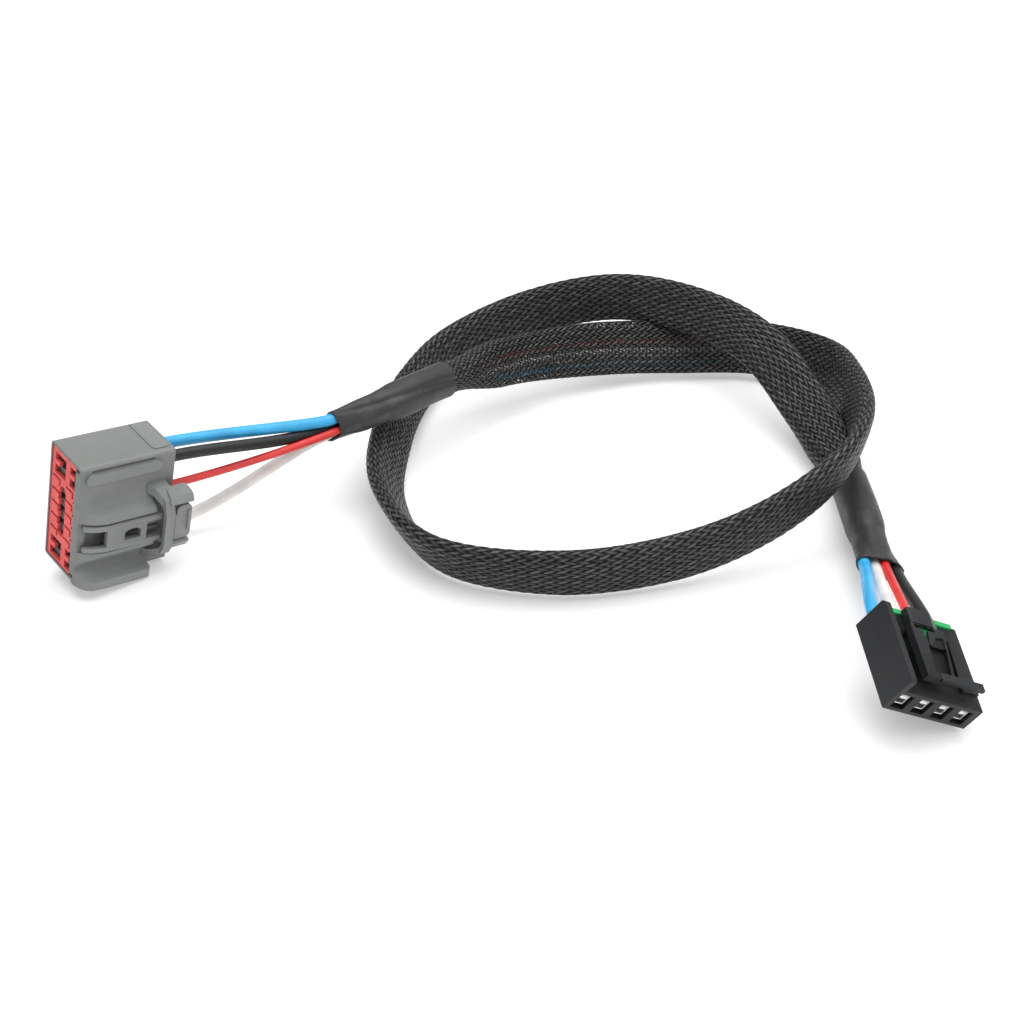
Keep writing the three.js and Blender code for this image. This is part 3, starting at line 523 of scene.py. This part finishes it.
def wire_line(colour, start):
    """A wire's centreline from plug to plug, in the cable's frame."""
    distances = np.linspace(0, ROUTE_LENGTH, int(ROUTE_LENGTH / WIRE_SPACING))
    centre, tangent, down, face = ribbon_at(distances)
    offset = gathered(colour, distances)
    offset[1] = pressed_forward(colour, distances, offset[1])
    cable = centre + down * offset[0][:, None] + face * offset[1][:, None]
    v_in, v_out = plug_points("vehicle", colour, start)
    c_in, c_out = plug_points("controller", colour, start)
    leaving = LEAVING.get(colour, {"reach": REACH["vehicle"], "drop": 0})
    v_reach = unit(v_out - v_in) * leaving["reach"] - np.array([0, 0, leaving["drop"]])
    c_reach = unit(c_out - c_in) * REACH["controller"]
    v_mouth = cable[0] - tangent[0] * MOUTH_REACH[colour]
    c_mouth = cable[-1] + tangent[-1] * REACH["controller"]
    first = bezier(v_out, v_out + v_reach, v_mouth, cable[0], FAN_SECTIONS)
    last = bezier(cable[-1], c_mouth, c_out + c_reach, c_out, FAN_SECTIONS)
    v_bore = np.linspace(v_in, v_out, BORE_SECTIONS)[:-1]
    c_bore = np.linspace(c_out, c_in, BORE_SECTIONS)[1:]
    return np.vstack([v_bore, first[:-1], cable, last[1:], c_bore])


def round_tube(name, line, radius, end_radius, sides, material_name):
    """A round rod along a line, with an end face that reaches in to end_radius."""
    across, over = carried_axes(line)
    angle = np.linspace(0, 2 * np.pi, sides, endpoint=False)
    ring = across[:, None] * np.cos(angle)[:, None] + over[:, None] * np.sin(angle)[:, None]
    outer = line[:, None] + ring * radius
    inner = line[[0, -1]][:, None] + ring[[0, -1]] * end_radius
    points = np.vstack([inner[:1], outer, inner[1:]])
    quads = grid_quads(len(points), sides)
    return mesh_from(name, in_row(points.reshape(-1, 3)), quads, MATERIALS[material_name])


def wire(colour):
    """A wire's insulation and the conductor in it."""
    radius, core = WIRE_RADIUS[colour], CORE_RADIUS[colour]
    jacket = round_tube(
        f"{colour}_wire", wire_line(colour, JACKET_START), radius, core, WIRE_SIDES, f"{colour}_insulation"
    )
    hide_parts(f"{colour}_wire_insulation")
    strands = round_tube(
        f"{colour}_conductor", wire_line(colour, CORE_START), core, core * CORE_TIP, CORE_SIDES, "copper"
    )
    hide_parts(f"{colour}_wire_conductor")


# ---------- braided sleeve ----------

CARRIERS = 36                           # yarns in each direction
CROSSING = {"open": 1.2, "tight": 1.75}         # distance along the cable between crossings
YARN_WIDTH = {"open": 0.72, "tight": 0.92}
OPEN_WEAVE = {"from": 110, "to": 210}   # the sleeve is stretched open up to here
ROWS_PER_CROSSING = 2
YARN_ARCH = ((-1, -0.12), (-0.45, 0.05), (0.45, 0.05), (1, -0.12))
# painted light across a yarn: painted shade at both edges, painted highlight in the middle
ACROSS_CREST_LIGHT = (0, 1, 1, 0)
WEAVE_DEPTH = 0.16
SLEEVE_INSET = 0.3                      # of the weave's middle, below the CAD sleeve's outside
OUTLINE = 160
SLEEVE_WIDTH = {"round": 10, "open": 15.3, "flat": 15.4}
SLEEVE_THICK = {"round": 10, "open": 10.4, "flat": 5.4}
SLEEVE_SQUARE = {"round": 2, "open": 2.8}       # power of the outline's superellipse
SLACK = {"from": 70, "to": 110, "until": 190, "away": 240, "extra": 2.2}
VALLEY = {"ridge": 0.8, "from": 5.2, "to": 6.4, "depth": 0.1}
YARN_DRIFT = ((37, 0.07), (13, 0.05), (6.1, 0.04))      # wavelength along the cable, share of the spacing
# random range of each yarn's painted highlight strength
YARN_HIGHLIGHT_RANGE = (0.7, 1.25)
# painted light left on a yarn where it passes under the other lay; the rest of its highlight is painted shade
UNDER_FLOAT_LIGHT = 0.12


def sleeve_size(distances):
    """Width, thickness and outline power of the sleeve: round, then open, then flat with some slack."""
    slack = smooth(distances, SLACK["from"], SLACK["to"]) - smooth(distances, SLACK["until"], SLACK["away"])
    width, thick = (
        mix(mix(size["round"], size["open"], opening(distances)), size["flat"], flattening(distances))
        for size in (SLEEVE_WIDTH, SLEEVE_THICK)
    )
    power = mix(SLEEVE_SQUARE["round"], SLEEVE_SQUARE["open"], opening(distances))
    return width + SLACK["extra"] * slack, thick, power


def draped(down_position, distances):
    """Share of the sleeve's thickness left where it sinks between the wires that lie side by side."""
    ridges = sum(
        np.exp(-(((down_position - RIBBON[colour][0]) / (WIRE_RADIUS[colour] * VALLEY["ridge"])) ** 2))
        for colour in RIBBON
    )
    valley = 1 - np.clip(ridges, 0, 1)
    inside = 1 - smooth(np.abs(down_position), VALLEY["from"], VALLEY["to"])
    return 1 - VALLEY["depth"] * valley * inside * flattening(distances)[:, None]


def rounded(value, power):
    """A sine or cosine, squared off for a superellipse."""
    return np.sign(value) * np.abs(value) ** (2 / power)


def sleeve_surface(distances):
    """Points, normals and perimeter shares of the sleeve's outline at each distance."""
    centre, _, down, face = ribbon_at(distances)
    width, thick, power = (value[:, None] for value in sleeve_size(distances))
    angle = np.linspace(0, 2 * np.pi, OUTLINE + 1)[None]
    x = (width / 2 - SLEEVE_INSET) * rounded(np.cos(angle), power)
    y = (thick / 2 - SLEEVE_INSET) * rounded(np.sin(angle), power)
    y = y * draped(x, distances)
    steps = np.hypot(np.diff(x, axis=1), np.diff(y, axis=1))
    run = np.concatenate([np.zeros((len(x), 1)), np.cumsum(steps, axis=1)], axis=1)
    dx, dy = np.gradient(x, axis=1), np.gradient(y, axis=1)
    dx[:, [0, -1]] = (x[:, [1]] - x[:, [-2]]) / 2
    dy[:, [0, -1]] = (y[:, [1]] - y[:, [-2]]) / 2
    length = np.hypot(dx, dy)
    points = centre[:, None] + down[:, None] * x[..., None] + face[:, None] * y[..., None]
    normals = down[:, None] * (dy / length)[..., None] - face[:, None] * (dx / length)[..., None]
    return points, normals, run / run[:, -1:], run[:, -1]


def by_openness(values, distances):
    """A value that goes from its open to its tight setting where the sleeve is drawn out."""
    return mix(values["open"], values["tight"], smooth(distances, OPEN_WEAVE["from"], OPEN_WEAVE["to"]))


def weave_distances():
    """Distances of the braid's sections: each crossing, and midway between crossings."""
    reached = [SLEEVE_START]
    while reached[-1] < ROUTE_LENGTH - SLEEVE_START:
        reached.append(reached[-1] + by_openness(CROSSING, reached[-1]) / ROWS_PER_CROSSING)
    return np.array(reached)


def yarn_wander(distances):
    """Slow sideways drift of each yarn, as a share of the spacing."""
    drift = np.zeros((CARRIERS, len(distances)))
    for wavelength, size in YARN_DRIFT:
        phase = RNG.uniform(0, 2 * np.pi, (CARRIERS, 1))
        drift += size * np.sin(2 * np.pi * distances[None] / wavelength + phase)
    return drift


def braid_lay(direction, shine, surface):
    """Points and painted crest light of all the yarns that wind one way: yarn, section, place across the
    yarn.
    """
    distances, points, normals, share, perimeter = surface
    arch = np.array(YARN_ARCH)
    yarn = np.arange(CARRIERS)[:, None]
    crossing = np.arange(len(distances))[None] / ROWS_PER_CROSSING
    middle = (yarn + direction * crossing / 2 + yarn_wander(distances)) / CARRIERS
    start = -0.5 if direction > 0 else 1.5
    over = np.cos((2 * yarn + direction * crossing + start) * np.pi / 2)
    half_width = by_openness(YARN_WIDTH, distances) / perimeter / 2
    at = (middle[..., None] + half_width[None, :, None] * arch[:, 0]) % 1
    lift = over[..., None] * WEAVE_DEPTH + arch[:, 1]
    vertices = np.empty((*at.shape, 3))
    for row in range(len(distances)):
        for axis in range(3):
            base = np.interp(at[:, row], share[row], points[row, :, axis])
            out = np.interp(at[:, row], share[row], normals[row, :, axis])
            vertices[:, row, :, axis] = base + out * lift[:, row]
    # painted light: each yarn's random highlight strength, times the lay's painted glint, dimmed to painted
    # shade under floats and at yarn edges
    own = RNG.uniform(*YARN_HIGHLIGHT_RANGE, (CARRIERS, 1, 1))
    lit_share = UNDER_FLOAT_LIGHT + (1 - UNDER_FLOAT_LIGHT) * np.clip(over, 0, 1)
    crest = own * shine * lit_share[..., None] * np.array(ACROSS_CREST_LIGHT)
    return vertices, crest


def braid_piece(name, vertices, crest):
    """A mesh of yarns as open arched strips."""
    count, rows, across, _ = vertices.shape
    strip = grid_quads(rows, across, wrap_columns=False)
    quads = np.vstack([strip + index * rows * across for index in range(count)])
    made = mesh_from(name, in_row(vertices.reshape(-1, 3)), quads, MATERIALS["braid"])
    attribute = made.data.attributes.new(CREST, "FLOAT", "POINT")
    attribute.data.foreach_set("value", crest.ravel())
    return made


def braid():
    distances = weave_distances()
    surface = (distances, *sleeve_surface(distances))
    # painted glint: the clockwise lay is painted brighter than the anticlockwise one, as if only it caught
    # the light
    for lay, direction, shine in (("clockwise", 1, 1.1), ("anticlockwise", -1, 0.6)):
        vertices, crest = braid_lay(direction, shine, surface)
        for half, points, crests in zip(("a", "b"), np.split(vertices, 2), np.split(crest, 2)):
            made = braid_piece(f"braid_yarns_{lay}_{half}", points, crests)
            if lay == "clockwise" and half == "a":
                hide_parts("braided_sleeve")


# ---------- heat shrinks ----------

SHRINK_SIDES = 72
SHRINK_ROWS = 90
SHRINK_WALL = 0.6
MOUTH_SLACK = 0.3
# A fold that winds round the vehicle-end shrink, in degrees, and sinks in by its depth.
CREASE = {"from": 170, "per_mm": 1.55, "across": 11, "depth": 0.62}
SHRINK_END = {True: 46.5, False: 50}       # visible length, from the vehicle end or not
SAG_SIDES, SAG_SLOPE = 6, 0.06          # the skin sags towards neighbouring angles this many steps away
LIP_LENGTH = 5
STEP_LENGTH = 9                         # over which the skin steps out over the sleeve's end
ROUND_SKIN = {"radius": 5.0, "share": 0.3}      # the tube's own roundness, where it has left the lip
SLEEVE_SKIN = {"radius": 5.72, "share": 0.86}   # its roundness over the sleeve
WRINKLES = ((0.05, 3, 7, 0.4), (0.035, 5, -5, 2.1), (0.03, 2, 3.1, 4.0))    # height, lobes, pitch, phase
RIDGE = {"before": 7, "width": 1.4, "lobes": 2, "phase": 0.6, "height": 0.12}
CUT_END = {"thickness": 0.35, "length": 2}
SLANT_LENGTH = 12                       # over which a slanted cut fades out along the tube
EDGE = {"width": 0.12, "segments": 2, "angle": 50}


def shrunk_radius(angles, distances):
    """Distance from the centreline to a skin drawn tight over the four wires, sagging between them."""
    reach = np.zeros((len(distances), len(angles)))
    for colour, radius in WIRE_RADIUS.items():
        x, y = gathered(colour, distances)
        bearing, offset = np.arctan2(y, x)[:, None], np.hypot(x, y)[:, None]
        turn = angles[None] - bearing
        skin = offset * np.cos(turn) + radius + SHRINK_WALL
        reach = np.maximum(reach, np.where(np.cos(turn) > 0, skin, 0))
    skin = np.copy(reach)
    for shift in range(-SAG_SIDES, SAG_SIDES + 1):
        skin = np.minimum(skin, np.roll(reach, shift, axis=1) + SAG_SLOPE * abs(shift))
    return skin


def shrink_skin(angles, inwards, distances, from_vehicle):
    """Distance from the centreline to a heat shrink's outside, by row and angle."""
    over_sleeve = smooth(inwards, SLEEVE_START - STEP_LENGTH, SLEEVE_START)[:, None]
    lip = (1 - smooth(inwards, 0, LIP_LENGTH))[:, None]
    skin = shrunk_radius(angles, distances)
    skin = mix(skin, ROUND_SKIN["radius"], ROUND_SKIN["share"] * (1 - lip)) + MOUTH_SLACK * lip
    skin = mix(skin, SLEEVE_SKIN["radius"], over_sleeve * SLEEVE_SKIN["share"])
    wrinkle = sum(
        size * np.sin(count * angles[None] + inwards[:, None] / pitch + phase)
        for size, count, pitch, phase in WRINKLES
    )
    ridge = np.exp(-(((inwards - (SLEEVE_START - RIDGE["before"])) / RIDGE["width"]) ** 2))[:, None]
    lobes = np.cos(RIDGE["lobes"] * angles[None] - RIDGE["phase"])
    skin = skin + wrinkle + ridge * lobes * RIDGE["height"]
    if from_vehicle:
        bearing = np.degrees(angles)[None] - CREASE["from"] + CREASE["per_mm"] * inwards[:, None]
        skin = skin - CREASE["depth"] * np.exp(-((bearing / CREASE["across"]) ** 2)) * (1 - lip)
    return skin


def heat_shrink(name, node, from_vehicle, slant, lean):
    """A heat shrink: loose lip, skin drawn over the wires, and a step out over the sleeve's end."""
    length = SHRINK_END[from_vehicle]
    inwards = np.linspace(0, length, SHRINK_ROWS)
    distances = inwards if from_vehicle else ROUTE_LENGTH - inwards
    angles = np.linspace(0, 2 * np.pi, SHRINK_SIDES, endpoint=False)
    skin = shrink_skin(angles, inwards, distances, from_vehicle)
    at_end = smooth(inwards, length - CUT_END["length"], length)
    wall = mix(SHRINK_WALL, CUT_END["thickness"], at_end)[:, None]
    cut = slant * np.cos(angles - lean)[None] * (1 - smooth(inwards, 0, SLANT_LENGTH))[:, None]
    along = np.clip(distances[:, None] + (cut if from_vehicle else -cut), 0, ROUTE_LENGTH)
    centre, _, down, face = (
        value.reshape(SHRINK_ROWS, SHRINK_SIDES, 3) for value in ribbon_at(along.ravel())
    )
    out = down * np.cos(angles)[None, :, None] + face * np.sin(angles)[None, :, None]
    outer = centre + out * skin[..., None]
    inner = centre + out * (skin - wall)[..., None]
    loop = np.vstack([outer, inner[::-1]])
    if from_vehicle:
        loop = loop[::-1]
    quads = grid_quads(len(loop), SHRINK_SIDES, wrap_rows=True)
    made = mesh_from(name, in_row(loop.reshape(-1, 3)), quads, MATERIALS["shrink_tube"])
    edge = made.modifiers.new("lip_rounding", "BEVEL")
    edge.width = EDGE["width"] * MM
    edge.segments = EDGE["segments"]
    edge.limit_method = "ANGLE"
    edge.angle_limit = math.radians(EDGE["angle"])
    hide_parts(node)


# ---------- stage, in metres and watts ----------

FLOOR = {"half": 3.0, "below": 0.0004, "colour": 0.8, "glow": 0.28, "roughness": 0.7, "shine": 0.2}
SKY = 0.48
KEY = {"place": (0.12, 0.12, 0.95), "size": 1.3, "power": 12.5}
FILL = {"place": (0.6, -0.6, 0.5), "size": 0.6, "power": 1.6}


def floor():
    mesh = bpy.data.meshes.new("floor")
    half = FLOOR["half"]
    corners = [(-half, -half, 0), (half, -half, 0), (half, half, 0), (-half, half, 0)]
    mesh.from_pydata(corners, [], [(0, 1, 2, 3)])
    material, shader = new_material("pale_floor")
    shader.inputs["Base Color"].default_value = (*[FLOOR["colour"]] * 3, 1)
    shader.inputs["Emission Color"].default_value = (1, 1, 1, 1)
    shader.inputs["Emission Strength"].default_value = FLOOR["glow"]
    shader.inputs["Roughness"].default_value = FLOOR["roughness"]
    shader.inputs["Specular IOR Level"].default_value = FLOOR["shine"]
    mesh.materials.append(material)
    made = bpy.data.objects.new("floor", mesh)
    made.location.z = -FLOOR["below"]
    bpy.context.scene.collection.objects.link(made)


def soft_light(name, place, size, power):
    """A square area light that faces the row frame's origin."""
    data = bpy.data.lights.new(name, "AREA")
    data.shape = "SQUARE"
    data.size = size
    data.energy = power
    made = bpy.data.objects.new(name, data)
    made.location = place
    made.rotation_euler = (-Vector(place)).to_track_quat("-Z", "Y").to_euler()
    bpy.context.scene.collection.objects.link(made)


def lighting():
    world = bpy.data.worlds.new("studio")
    world.use_nodes = True
    background = world.node_tree.nodes["Background"]
    background.inputs["Color"].default_value = (1, 1, 1, 1)
    background.inputs["Strength"].default_value = SKY
    bpy.context.scene.world = world
    soft_light("key", **KEY)
    soft_light("fill", **FILL)
    scene = bpy.context.scene
    scene.view_settings.view_transform = "Standard"
    scene.view_settings.look = "None"


SENSOR, LENS = 36.0, 59.765625          # millimetres
CAMERA_TILT = math.radians(33)          # below the horizon
CAMERA_AT = (0, -402.6, 267.0)          # in the cable's frame, in millimetres
NEAREST = 0.01


def camera():
    data = bpy.data.cameras.new("camera")
    data.sensor_width = SENSOR
    data.lens = LENS
    data.clip_start = NEAREST
    made = bpy.data.objects.new("camera", data)
    made.location = Vector(in_row(CAMERA_AT))
    made.rotation_euler = (math.pi / 2 - CAMERA_TILT, 0, 0)
    bpy.context.scene.collection.objects.link(made)
    bpy.context.scene.camera = made


dress_cad()
for wire_colour in WIRE_RADIUS:
    wire(wire_colour)
braid()
heat_shrink("vehicle_end_heat_shrink", "heat_shrink_vehicle_end", True, 0.8, 1.0)
heat_shrink("controller_end_heat_shrink", "heat_shrink_controller_end", False, 0.8, 0.5)
floor()
lighting()
camera()
